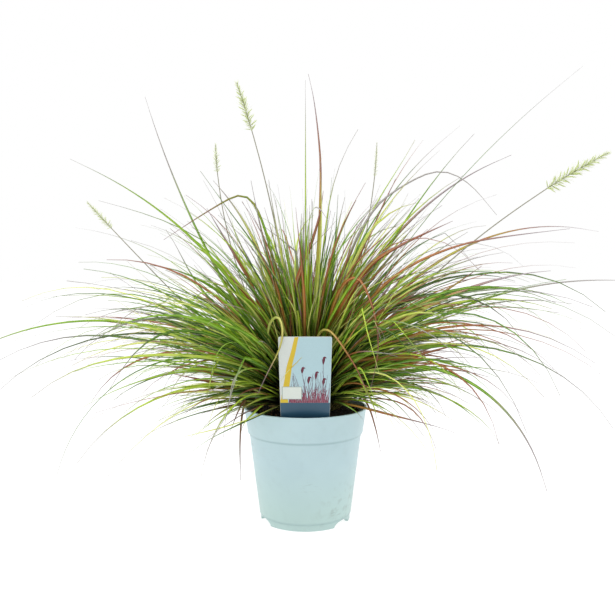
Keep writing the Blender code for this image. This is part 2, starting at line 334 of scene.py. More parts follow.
def skinned(name, loops, poles, material):
    """A closed solid over loops of TURNS points each, with a fan to a pole on the axis at both ends.

    Its faces are always made in this order, so what is scattered over them stays the same.
    """
    made = bmesh.new()
    loops = [[made.verts.new(point) for point in loop] for loop in loops]
    for lower, upper in zip(loops, loops[1:]):
        for k in range(TURNS):
            j = (k + 1) % TURNS
            made.faces.new((lower[k], lower[j], upper[j], upper[k]))
    for loop, height in zip((loops[0][::-1], loops[-1]), poles):
        pole = made.verts.new((0.0, 0.0, height))
        for k in range(TURNS):
            made.faces.new((loop[k], loop[(k + 1) % TURNS], pole))
    return from_bmesh(name, made, material)


def turned(name, profile, material):
    """A solid turned about Z from (radius, height) points that start and end on the axis."""
    angles = [math.tau * k / TURNS for k in range(TURNS)]
    loops = [[around_axis(angle, *point) for angle in angles] for point in profile[1:-1]]
    return skinned(name, loops, (profile[0][1], profile[-1][1]), material)


# %% The pot's plastic
# Moulded polypropylene: slightly milky and satin, so its highlights are broad and soft. It shows faint grey
# smudges from handling, fine scuffs, and soil dust low down on one side.
def pot_plastic():
    material, add, shader = new_material("polypropylene_moulded_pale_aqua")
    place = add("TexCoord", output="Object")
    cloudy = add("TexNoise", {"Vector": place, "Scale": 14.0, "Detail": 3.0})
    stops = [(0.3, "#aac3c9"), (0.7, "#b1cacf")]
    body = add("ValToRGB", {"Fac": cloudy}, stops=stops)
    # The foot of the pot is a little greener than its collar.
    height = add("SeparateXYZ", {0: place}, output="Z")
    low = add("MapRange", {0: height, 1: 0.02, 2: 0.09, 3: 0.6, 4: 0.0})
    # Scuffs: short level streaks about 1 mm high, a little coarser than real ones so that they show.
    stretched = add("Mapping", {"Vector": place, "Scale": (60.0, 60.0, 420.0)})
    streaks = add("TexNoise", {"Vector": stretched, "Scale": 1.0, "Detail": 4.0})
    streaks = add("MapRange", {0: streaks, 1: 0.60, 2: 0.72, 3: 0.0, 4: 0.5})
    patch = add("TexNoise", {"Vector": place, "Scale": 26.0, "Detail": 1.0})
    patch = add("MapRange", {0: patch, 1: 0.56, 2: 0.70})
    scuffs = add("Math", {0: streaks, 1: patch}, operation="MULTIPLY")
    # Smudges, mostly low down to the right of the label.
    aside = {0: place, 1: (0.050, -0.042, 0.026)}
    aside = add("VectorMath", aside, "Value", operation="DISTANCE")
    near = add("MapRange", {0: aside, 1: 0.012, 2: 0.045, 3: 1.0, 4: 0.12})
    smudge = add("TexNoise", {"Vector": place, "Scale": 85.0, "Detail": 4.0})
    smudge = add("MapRange", {0: smudge, 1: 0.52, 2: 0.74, 3: 0.0, 4: 0.55})
    smudge = add("Math", {0: smudge, 1: near}, operation="MULTIPLY")
    # Painted shade: darker lines in the groove under the collar and along the step above the foot ring, where
    # shadow falls.
    painted_crease_shades = []
    for level, depth in ((0.1210, 0.55), (0.0095, 0.35)):
        off = add("Math", {0: height, 1: level}, operation="SUBTRACT")
        off = add("Math", {0: off}, operation="ABSOLUTE")
        painted_crease_shades.append(add("MapRange", {0: off, 1: 0.0003, 2: 0.0026, 3: depth, 4: 0.0}))
    layers = [(low, "#adc7be"), (scuffs, "#7e8b89"), (smudge, "#86918b")]
    # The last two layers are the painted shade under the collar and above the foot ring.
    layers += [(painted_crease_shade, "#84a0a2") for painted_crease_shade in painted_crease_shades]
    body = layered(add, body, [(amount, linear(colour)) for amount, colour in layers])
    worn = add("MapRange", {0: cloudy, 3: 0.36, 4: 0.50})
    # The wall is not quite even: shallow waves some 2 cm long, and a grain of about 0.5 mm.
    waves = add("TexNoise", {"Vector": place, "Scale": 40.0})
    waved = add("Bump", {"Strength": 0.25, "Distance": 0.5 * MM, "Height": waves})
    grain = add("TexNoise", {"Vector": place, "Scale": 1900.0})
    bump = add("Bump", {"Strength": 0.12, "Distance": 0.05 * MM, "Height": grain, "Normal": waved})
    feed(shader, {"Base Color": body, "Roughness": worn, "Normal": bump, "IOR": 1.49})
    return material


# %% Turn the pot, and cut its drainage
NOTCHES, HOLES = 3, 6
FIRST_NOTCH = math.radians(-155.0)
THROUGH_RING = (51.0 * MM, 68.0 * MM)  # from inside the foot ring to outside it
ARCH_SIDES = 32


def drainage_cutter(notch_width, notch_height, hole_radius, hole_circle):
    """Arches through the foot ring, and round holes through the floor."""
    made = bmesh.new()
    for i in range(NOTCHES):
        angle = FIRST_NOTCH + math.tau * i / NOTCHES
        side = around_axis(angle + math.pi / 2, notch_width / 2, 0.0)
        loops = []
        for radius in THROUGH_RING:
            loop = []
            for k in range(ARCH_SIDES):
                a = math.tau * k / ARCH_SIDES
                arch = side * math.cos(a) + Vector((0, 0, notch_height * math.sin(a)))
                loop.append(made.verts.new(around_axis(angle, radius, 0.0) + arch))
            loops.append(loop)
        for k in range(ARCH_SIDES):
            j = (k + 1) % ARCH_SIDES
            made.faces.new((loops[0][k], loops[0][j], loops[1][j], loops[1][k]))
        made.faces.new(loops[0][::-1])
        made.faces.new(loops[1])
    size = {"segments": ARCH_SIDES, "radius1": hole_radius, "radius2": hole_radius, "depth": FLOOR}
    for i in range(HOLES):
        place = around_axis(FIRST_NOTCH + math.tau * i / HOLES, hole_circle, FLOOR)
        hole = bmesh.ops.create_cone(made, cap_ends=True, **size)
        bmesh.ops.translate(made, vec=place, verts=hole["verts"])
    return from_bmesh("drainage_cutter", made)


def make_pot():
    pot = turned("pot_uncut", rounded(POT_OUTSIDE + POT_INSIDE, 0.7 * MM), pot_plastic())
    notch = {"notch_width": 34.0 * MM, "notch_height": 7.5 * MM}
    cutter = drainage_cutter(**notch, hole_radius=4.2 * MM, hole_circle=40.0 * MM)
    boolean = pot.modifiers.new("drainage", "BOOLEAN")
    boolean.object = cutter
    boolean.solver = "EXACT"
    pot = plain(pot, "pot_shell")
    bpy.data.objects.remove(cutter)
    pot.data.shade_smooth()
    pot.data.set_sharp_from_angle(angle=math.radians(40))
    stand_for(pot, "pot_plastic", "pot")
    return pot


print("pot:", triangles(make_pot()), "triangles")

# %% [markdown]
# ## The potting soil
#
# Potting soil is dark peat with crumbs, bark and fibres. Only a ring of it shows between the crown and the
# rim. The solid under it keeps its level and its low mound. Here its top is a fine disc that noise lifts and
# lowers, and a Geometry Nodes tree scatters crumbs over it, because loose bits are what makes soil look like
# soil.


# %% Soil material
# Damp peat: nearly black and rough, with some lighter brown bark in it.
def soil_material():
    material, add, shader = new_material("damp_peat_crumbled")
    place = add("TexCoord", output="Object")
    bits = add("TexVoronoi", {"Vector": place, "Scale": 330.0}, "Color")
    pick = add("SeparateColor", {0: bits})
    shade = add("Attribute", output="Fac", attribute_name="shade")
    both = add("Math", {0: pick, 1: 0.55, 2: shade}, operation="MULTIPLY_ADD")
    stops = [(0.0, "#0f0b09"), (0.5, "#1f1611"), (0.8, "#33241a"), (0.95, "#5a3f2a"), (1.0, "#7a5a3c")]
    colour = add("ValToRGB", {"Fac": both}, stops=stops)
    rough = add("TexNoise", {"Vector": place, "Scale": 900.0, "Detail": 3.0})
    bump = add("Bump", {"Strength": 0.8, "Distance": 0.6 * MM, "Height": rough})
    feed(shader, {"Base Color": colour, "Normal": bump, "Roughness": 0.95, "Specular IOR Level": 0.2})
    return material


peat = soil_material()
_, soil_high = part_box("potting_soil")
MOUND = 9.5  # mm that the soil rises by at the crown
SOIL_EDGE = soil_high.z - MOUND * MM


# %% The soil's body
def soil_level(radius):
    """Height of the soil before its crumbs: level at the pot's wall, with a low mound round the crown."""
    rise = np.interp(radius / MM, [0.0, 50.0, 60.0, 70.0, 79.1], [MOUND, MOUND, 7.0, 3.5, 0.0])
    return SOIL_EDGE + float(rise) * MM


SOIL_RADIUS = 79.4 * MM  # at its surface
SOIL_BOTTOM = FLOOR + 0.3 * MM
SOIL_RINGS = 34  # from the surface's edge to its middle
# Up the inside of the pot, as (radius, height), and then inwards over the surface.
SOIL_PROFILE = [(61.2 * MM, SOIL_BOTTOM), (75.5 * MM, 120.0 * MM)]
SOIL_PROFILE += [(77.9 * MM, 123.2 * MM), (SOIL_RADIUS, SOIL_EDGE)]
SOIL_PROFILE += [(SOIL_RADIUS * (1 - i / SOIL_RINGS), None) for i in range(1, SOIL_RINGS)]


def make_soil():
    loops = []
    for radius, height in SOIL_PROFILE:
        loop = []
        for k in range(TURNS):
            point = around_axis(math.tau * k / TURNS, radius, 0.0)
            bumps = noise.fractal(point / (7.0 * MM), 0.6, 2.0, 4) * 1.3 * MM
            point.z = soil_level(radius) + bumps if height is None else height
            loop.append(point)
        loops.append(loop)
    soil = skinned("soil_body", loops, (SOIL_BOTTOM, soil_level(0.0)), peat)
    soil.data.shade_smooth()
    return soil


# %% Crumbs
RANDOM_VECTOR = {"data_type": "FLOAT_VECTOR"}
RANDOM_FLOAT = {"data_type": "FLOAT", "output": 1}  # its range is at inputs 2 and 3
ON_INSTANCES = {"data_type": "FLOAT", "domain": "INSTANCE"}
ON_POINTS = {"data_type": "FLOAT", "domain": "POINT"}


def shaded(add, instances, low, high, seed):
    """Stores a random shade on each instance, for its material to read."""
    shade = add("RandomValue", {2: low, 3: high, "Seed": seed}, **RANDOM_FLOAT)
    marked = {"Geometry": instances, "Name": "shade", "Value": shade}
    return add("StoreNamedAttribute", marked, **ON_INSTANCES)


def on_base(add, geometry, given):
    """Joins what stands on a surface with the surface."""
    everything = add("JoinGeometry", {"Geometry": geometry})
    feed(everything.node, {"Geometry": given["Geometry"]})
    return everything


def scatter_tree():
    """Scatters rough lumps over the upward faces of a surface, outside a radius."""
    add, given = new_tree(
        "scatter_crumbs",
        ("Density", "Float", 60000.0),
        ("Smallest", "Float", 0.5 * MM),
        ("Largest", "Float", 2.2 * MM),
        ("Inner Radius", "Float", 30.0 * MM),
        ("Seed", "Int", 1),
    )
    seed = given["Seed"]
    place = add("InputPosition")
    flat = add("VectorMath", {0: place, 1: (1, 1, 0)}, operation="MULTIPLY")
    radius = add("VectorMath", {0: flat}, "Value", operation="LENGTH")
    normal = add("InputNormal")
    rise = add("SeparateXYZ", {0: normal}, output="Z")
    is_up = add("Compare", {0: rise, 1: 0.5}, operation="GREATER_THAN")
    is_out = {0: radius, 1: given["Inner Radius"]}
    is_out = add("Compare", is_out, operation="GREATER_THAN")
    both = add("BooleanMath", {0: is_up, 1: is_out}, operation="AND")
    spots = {"Mesh": given["Geometry"], "Selection": both, "Density": given["Density"], "Seed": seed}
    points = add("DistributePointsOnFaces", spots)
    lump = add("MeshIcoSphere", {"Radius": 1.0, "Subdivisions": 1})
    spin = add("RandomValue", {"Max": (math.tau,) * 3, "Seed": seed}, **RANDOM_VECTOR)
    sizes = {2: given["Smallest"], 3: given["Largest"], "Seed": seed}
    size = add("RandomValue", sizes, **RANDOM_FLOAT)
    shapes = {"Min": (0.35, 0.35, 0.3), "Max": (1.4, 1.0, 0.7), "Seed": seed}
    shape = add("RandomValue", shapes, **RANDOM_VECTOR)
    scale = add("VectorMath", {0: shape, "Scale": size}, operation="SCALE")
    lumps = {"Points": points, "Instance": lump, "Rotation": spin, "Scale": scale}
    lumps = add("InstanceOnPoints", lumps)
    return end_tree(add, on_base(add, shaded(add, lumps, -0.2, 0.75, 5), given), given)


soil = grown("soil", make_soil(), scatter_tree(), {"Material": peat})
stand_for(soil, "potting_soil", "potting_soil")
print("soil:", triangles(soil), "triangles")

# %% [markdown]
# ## The crown
#
# Every leaf leaves the tussock's crown in a short sheath, and the old sheaths stay on as brown stubs. The
# crown's dome is known from its solid. A Geometry Nodes tree stands sheaths all over it, which lean outwards
# the more, the nearer they are to its edge.


# %% Sheath material
# Dead and living leaf sheaths: fibrous and dull, from dark brown to olive and tan at random, with grooves
# along them.
def sheath_material():
    material, add, shader = new_material("grass_sheath_fibrous")
    place = add("TexCoord", output="Object")
    shade = add("Attribute", output="Fac", attribute_name="shade")
    patchy = add("TexNoise", {"Vector": place, "Scale": 160.0, "Detail": 3.0})
    total = add("Math", {0: shade, 1: patchy}, operation="ADD")
    factor = add("MapRange", {0: total, 1: 0.25, 2: 1.35})
    stops = [(0.0, "#1d1a0c"), (0.35, "#3a3717"), (0.6, "#585a24"), (0.85, "#7d6a3a"), (1.0, "#a08a58")]
    colour = add("ValToRGB", {"Fac": factor}, stops=stops)
    grooves = add("Mapping", {"Vector": place, "Scale": (1800.0, 1800.0, 120.0)})
    fibres = add("TexNoise", {"Vector": grooves, "Scale": 1.0})
    bump = add("Bump", {"Strength": 0.6, "Distance": 0.3 * MM, "Height": fibres})
    feed(shader, {"Base Color": colour, "Normal": bump, "Roughness": 0.8, "Specular IOR Level": 0.25})
    return material


# %% Stand sheaths on the crown
def sheath_tree():
    add, given = new_tree(
        "stand_sheaths",
        ("Density", "Float", 90000.0),
        ("Length", "Float", 17.0 * MM),
        ("Radius", "Float", 1.6 * MM),
        ("Focus", "Vector", (0.0, 0.0, 0.12)),
    )
    spots = {"Mesh": given["Geometry"], "Density": given["Density"], "Seed": 3}
    points = add("DistributePointsOnFaces", spots)
    place = add("InputPosition")
    away = {0: place, 1: given["Focus"]}
    away = add("VectorMath", away, operation="SUBTRACT")
    jitter = {"Min": (-0.012, -0.012, -0.006), "Max": (0.012, 0.012, 0.006), "Seed": 9}
    jitter = add("RandomValue", jitter, **RANDOM_VECTOR)
    away = add("VectorMath", {0: away, 1: jitter}, operation="ADD")
    lean = add("AlignRotationToVector", {"Vector": away}, axis="Z")
    sheath = {"Vertices": 7, "Radius Top": 0.4 * MM, "Radius Bottom": given["Radius"]}
    sheath = add("MeshCone", {**sheath, "Depth": given["Length"]})
    size = {"Min": (0.5, 0.4, 0.45), "Max": (1.1, 0.9, 1.15), "Seed": 4}
    size = add("RandomValue", size, **RANDOM_VECTOR)
    sheaths = {"Points": points, "Instance": sheath, "Rotation": lean, "Scale": size}
    sheaths = add("InstanceOnPoints", sheaths)
    soft = add("SetShadeSmooth", {"Geometry": shaded(add, sheaths, 0.0, 0.9, 6)})
    return end_tree(add, on_base(add, soft, given), given)


sheaths = sheath_material()
crown_radius, crown_rise = crown_high.x, crown_high.z - crown_low.z
arc = [math.pi / 2 * i / 10 for i in range(10)]
dome = [(crown_radius * math.cos(a), crown_low.z + crown_rise * math.sin(a)) for a in arc]
dome = [(0.0, crown_low.z), *dome, (0.0, crown_high.z)]
crown = grown("crown_sheaths", turned("dome", dome, sheaths), sheath_tree(), {"Material": sheaths})
stand_for(crown, "crown_sheath", "crown")
print("crown:", triangles(crown), "triangles")

# %% [markdown]
# ## The sweep
#
# A blade of grass is a line with a width at each point. A Geometry Nodes tree turns each line of edges into a
# curve and sweeps a thin V along it, because a grass blade is keeled along its midrib. The V is a closed
# shape, so each blade is too. The width at each point, and the way that the V faces, are stored on the line.
# The same tree draws the printed grass on the label, where the V has no depth.


# %% The sweep's tree
def blade_tree():
    """Sweeps a thin V along each edge line. "half_width" sizes it, and "facing" points across it."""
    add, given = new_tree(
        "sweep_blades",
        ("Keel", "Float", 0.30),
        ("Thickness", "Float", 0.10),
    )
    curve = add("MeshToCurve", {"Mesh": given["Geometry"]})
    facing = add("InputNamedAttribute", {"Name": "facing"}, **RANDOM_VECTOR)
    curve = add("SetCurveNormal", {"Curve": curve}, mode="FREE")
    feed(curve.node, {"Normal": facing})
    size = {"Name": "half_width"}
    size = add("InputNamedAttribute", size, data_type="FLOAT")
    curve = add("SetCurveRadius", {"Curve": curve, "Radius": size})
    # The V: two edges that stand up by the keel, and a midrib of some thickness.
    keel, thickness = given["Keel"], given["Thickness"]
    below = add("Math", {0: thickness, 1: -1.0}, operation="MULTIPLY")
    section = add("CurvePrimitiveQuadrilateral", mode="POINTS")
    for number, (x, y) in enumerate([(-1.0, keel), (0.0, below), (1.0, keel), (0.0, thickness)], 1):
        feed(section.node, {f"Point {number}": add("CombineXYZ", {"X": x, "Y": y})})
    place = add("InputPosition")
    across = add("SeparateXYZ", {0: place}, output="X")
    marked = {"Geometry": section, "Name": "across", "Value": across}
    marked = add("StoreNamedAttribute", marked, **ON_POINTS)
    swept = {"Curve": curve, "Profile Curve": marked, "Scale": size, "Fill Caps": True}
    swept = add("CurveToMesh", swept)
    soft = add("SetShadeSmooth", {"Geometry": swept})
    return end_tree(add, soft, given)


sweep_blades = blade_tree()
ATTRIBUTE_KINDS = {1: ("FLOAT", "value"), 3: ("FLOAT_VECTOR", "vector"), 4: ("FLOAT_COLOR", "color")}


class Lines:
    """Collects lines with values at their points, and sweeps them into one mesh."""

    def __init__(self):
        self.points, self.edges, self.values = [], [], {}

    def add(self, line, across, half_width, **values):
        first, count = len(self.points), len(line)
        self.points += [tuple(point) for point in line]
        self.edges += [(first + i, first + i + 1) for i in range(count - 1)]
        for name, value in {"facing": across, "half_width": half_width, **values}.items():
            value = np.asarray(value, dtype=float)
            spread = value if value.shape[:1] == (count,) else np.array([value] * count)
            self.values.setdefault(name, []).append(spread)

    def sweep(self, name, material, **shape):
        guide = bpy.data.meshes.new(name + "_lines")
        guide.from_pydata(self.points, self.edges, [])
        for key, values in self.values.items():
            values = np.concatenate(values)
            kind, field = ATTRIBUTE_KINDS[1 if values.ndim == 1 else values.shape[1]]
            guide.attributes.new(key, kind, "POINT").data.foreach_set(field, values.ravel())
        given = {"Material": material, **shape}
        return grown(name, new_object(name + "_lines", guide), sweep_blades, given)


# %% [markdown]
# ## The stick-in label
#
# The label is a stiff plastic card with rounded corners. It narrows below the soil to a stake. Its front has
# a plain decorative print: a pale sky, a yellow stem, a stand of burgundy grass and a dark band at the foot.
# The places of the words stay bare. The inks are thin closed shapes that lie on the card, so that they have
# sharp edges at any distance. The card's own axes run down it and out of its face.

# %% The card's own axes
LEAN = math.radians(12.0)
label_low, label_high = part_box("plant_label")
LABEL_WIDTH = label_high.x - label_low.x
LABEL_SHOWN = 120.0  # mm from its top to the soil
SHOULDER, POINT = 140.0, 180.0  # mm from its top to where its stake narrows, and to its stake's end
LABEL_OUT = 68.5 * MM  # from the pot's axis, at the soil
CARD = 0.7 * MM
down = Vector((0, math.sin(LEAN), -math.cos(LEAN)))
facing = Vector((0, -math.cos(LEAN), -math.sin(LEAN)))
label_top = Vector((0, -LABEL_OUT, SOIL_EDGE)) - down * LABEL_SHOWN * MM


def on_label(across, along, proud=0.0):
    """A point on the label's face: mm from its left edge, mm from its top, and mm proud of it."""
    sideways = Vector((across * MM - LABEL_WIDTH / 2, 0, 0))
    return label_top + sideways + down * (along * MM) + facing * (CARD / 2 + proud * MM)


# %% Ink and card
# Offset print on glossy plastic card: even ink with a faint mottle, under a thin clear gloss.
def print_material():
    material, add, shader = new_material("printed_gloss_card")
    place = add("TexCoord", output="Object")
    ink = add("Attribute", output="Color", attribute_name="ink")
    mottle = add("TexNoise", {"Vector": place, "Scale": 700.0, "Detail": 2.0})
    mottle = add("MapRange", {0: mottle, 3: 0.93, 4: 1.05})
    mix = {FACTOR: 1.0, FIRST: ink, SECOND: mottle}
    colour = add("Mix", mix, RESULT, data_type="RGBA", blend_type="MULTIPLY")
    warp = add("TexNoise", {"Vector": place, "Scale": 30.0})
    bump = add("Bump", {"Strength": 0.1, "Distance": 0.3 * MM, "Height": warp})
    feed(shader, {"Base Color": colour, "Normal": bump, "Roughness": 0.32, "IOR": 1.5})
    return material


card_finish = print_material()


def flat_shape(name, outline, colour, back, front):
    """A closed plate with this outline of (across, along) in mm, between two distances from the face."""
    made = bmesh.new()
    loops = [[made.verts.new(on_label(*point, proud)) for point in outline] for proud in (back, front)]
    for k in range(len(outline)):
        j = (k + 1) % len(outline)
        made.faces.new((loops[0][k], loops[0][j], loops[1][j], loops[1][k]))
    made.faces.new(loops[0][::-1])
    made.faces.new(loops[1])
    obj = from_bmesh(name, made, card_finish)
    layer = obj.data.attributes.new("ink", "FLOAT_COLOR", "POINT")
    layer.data.foreach_set("color", linear(colour) * len(obj.data.vertices))
    return obj


# %% The card and its fields of colour
def card_outline(corner=2.5):
    """Down the right side and up the left, with rounded top corners and the stake below, in mm."""
    width = LABEL_WIDTH / MM
    turns = [math.pi / 2 * i / 6 for i in range(7)]
    right = [(width - corner + corner * math.sin(a), corner - corner * math.cos(a)) for a in turns]
    stake = [(31.5, LABEL_SHOWN), (9.0, SHOULDER), (2.0, POINT)]
    right += [(width / 2 + half, along) for half, along in stake]
    return right + [(width - across, along) for across, along in reversed(right)]


def stem_middle(along):
    """Where the printed yellow stem's middle is at this distance from the label's top."""
    return float(np.interp(along, [0, 23, 39, 52, 66, 90], [23.3, 18.3, 13.9, 12.1, 10.0, 6.5]))


def stem_half(along):
    """Half the printed stem's width there: it widens towards its foot."""
    return 2.5 + 1.9 * along / 90


YELLOW = "#cdb01e"
stations = [0.5 + 89.5 * i / 18 for i in range(19)]
sky = [(stem_middle(a), a) for a in stations] + [(65.9, 90.0), (67.6, 2.6), (65.6, 0.5)]
stem = [(stem_middle(a) - stem_half(a), a) for a in stations]
stem += [(stem_middle(a) + stem_half(a), a) for a in stations[::-1]]
label_parts = [
    flat_shape("card", card_outline(), "#cdd3cf", -CARD / MM, 0.0),
    flat_shape("sky", sky, "#a9c6ce", -0.02, 0.03),
    flat_shape("stem", stem, YELLOW, -0.02, 0.05),
    flat_shape("frame", [(4.2, 67.2), (29.8, 67.2), (29.8, 84.7), (4.2, 84.7)], "#93a19c", -0.02, 0.08),
    flat_shape("panel", [(5, 68), (29, 68), (29, 84), (5, 84)], "#d2d9d2", -0.02, 0.09),
    flat_shape("strip", [(2.0, 85.2), (12, 85.2), (12, 90), (2.1, 90)], YELLOW, -0.02, 0.07),
    flat_shape("band", [(2.1, 89.5), (65.9, 89.5), (65.3, 119.6), (2.7, 119.6)], "#294f66", -0.02, 0.11),
]


# %% The printed grass
BURGUNDIES = ("#7d2943", "#661f36", "#94465c", "#a56c7c", "#6a5468")
# Each flowering stroke: its foot across the label, its head's tip (across, along), and its head's length.
HEADS = ((34, (30, 41), 8), (37, (38, 54), 9), (46, (47.5, 47), 10), (55, (57, 27), 10), (59, (57, 56), 9))
STROKES = 110  # of leaves and thin stalks between them


def print_stroke(strokes, points, widths, colour, proud):
    """One printed stroke through (across, along) points, with widths at them, all in mm."""
    known, places = range(len(points)), np.linspace(0, len(points) - 1, 9)
    across = np.interp(places, known, [point[0] for point in points])
    along = np.interp(places, known, [point[1] for point in points])
    line = np.array([tuple(on_label(a, b, proud)) for a, b in zip(across, along)])
    sideways = np.cross(np.gradient(line, axis=0), tuple(facing))
    sideways /= np.linalg.norm(sideways, axis=1)[:, None]
    strokes.add(line, sideways, np.interp(places, known, widths) * MM / 2, ink=linear(colour))


def printed_grass(chance):
    strokes = Lines()
    print_stroke(strokes, [(15.5, 42), (22, 36), (30, 27)], (1.4, 1.1, 0.3), YELLOW, 0.05)
    print_stroke(strokes, [(14, 44), (9, 50), (3, 60)], (1.0, 0.8, 0.3), "#dcd98e", 0.06)
    for foot, (across, along), length in HEADS:
        neck = (across, along + length)
        middle = ((foot + across) / 2 + 1.0, (89 + along) / 2)
        print_stroke(strokes, [(foot, 89), middle, neck], (0.8, 0.6, 0.6), "#75687a", 0.05)
        # The head nods over to the right.
        bow, tip = (across + 0.3, along + length * 0.5), (across + 4.2, along + 1.5)
        plume = [neck, bow, (across + 1.4, along), tip]
        print_stroke(strokes, plume, (1.3, 3.6, 2.8, 0.5), "#6c2239", 0.07)
    for i in range(STROKES):
        foot = 13 + 51 * (i + chance.uniform(0, 1)) / STROKES
        # One in five is a tall, thin stalk.
        tall = i % 5 == 4
        height = chance.uniform(26, 44) if tall else chance.uniform(9, 25)
        bend = chance.uniform(-7, 7)
        top = (min(max(foot + bend, 10), 65), 89 - height)
        middle = (foot + bend * 0.3, 89 - height * 0.55)
        widths = (0.6, 0.5, 0.3) if tall else (1.0, 0.9, 0.25)
        print_stroke(strokes, [(foot, 89.4), middle, top], widths, BURGUNDIES[i % 5], 0.05)
    return strokes.sweep("printed_grass", card_finish, Keel=0.0, Thickness=0.05)


label_parts.append(printed_grass(np.random.default_rng(3)))
label = joined("label_card", label_parts)
stand_for(label, "label_card", "plant_label")
print("label:", triangles(label), "triangles")

# %% [markdown]
# ## Reading the plant's lines back from the solids
#
# Each bundle of leaves, long leaf and flower stem is a solid swept through rings of corners. The ring at its
# root is the one nearest to the crown. From there each next ring is one edge away, so a walk along the edges
# finds the rings in order. Their middles give the line that the leaves follow, and their spread gives the
# space that they fill.


# %% Rings of a swept solid
def rings_of(node, sides):
    """The rings of a swept solid's corners from its root to its tip, each an array of points."""
    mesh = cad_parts[node].data
    places, index = {}, []
    for vertex in mesh.vertices:
        key = tuple(round(value, 5) for value in vertex.co)
        index.append(places.setdefault(key, len(places)))
    points = np.array(list(places))
    neighbours = [set() for _ in points]
    for edge in mesh.edges:
        a, b = (index[i] for i in edge.vertices)
        neighbours[a].add(b)
        neighbours[b].add(a)
    root = np.array([0.0, 0.0, crown_low.z])
    ring = set(np.argsort(np.linalg.norm(points - root, axis=1))[:sides].tolist())
    rings, seen = [], set()
    while ring:
        rings.append(points[sorted(ring)])
        seen |= ring
        ring = set().union(*(neighbours[i] for i in ring)) - seen
    return rings


class Guide:
    """The middle line of a swept solid: where it starts, which way it heads, and how it bends."""

    def __init__(self, node, sides):
        rings = rings_of(node, sides)
        self.node = node
        self.middles = np.array([ring.mean(0) for ring in rings])
        steps = np.diff(self.middles, axis=0)
        travelled = np.concatenate([[0.0], np.cumsum(np.linalg.norm(steps, axis=1))])
        self.length = travelled[-1]
        self.shares = travelled / self.length
        self.between = (self.shares[1:] + self.shares[:-1]) / 2
        self.angles = np.arctan2(steps[:, 2], np.hypot(steps[:, 0], steps[:, 1]))
        self.widths = np.array([np.linalg.norm(ring[:, None] - ring, axis=2).max() for ring in rings])

    def angle_at(self, share):
        """Its angle above the horizontal at a share of its length, carried on past both ends."""
        values, between = self.angles, self.between
        last = (values[-1] - values[-2]) / (between[-1] - between[-2])
        first = (values[1] - values[0]) / (between[1] - between[0])
        inside = np.interp(share, between, values)
        after = np.maximum(share - between[-1], 0.0) * last
        return inside + after + np.minimum(share - between[0], 0.0) * first


names = sorted(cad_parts)
tufts = [Guide(name, 8) for name in names if name.startswith("leaf_tuft")]
long_leaves = [Guide(name, 6) for name in names if name.startswith("long_leaf")]
stems = [Guide(name, 8) for name in names if name.startswith("flower_stem")]
for guides in (tufts, long_leaves, stems):
    print(len(guides), "guides of", sorted({len(guide.middles) for guide in guides}), "rings")
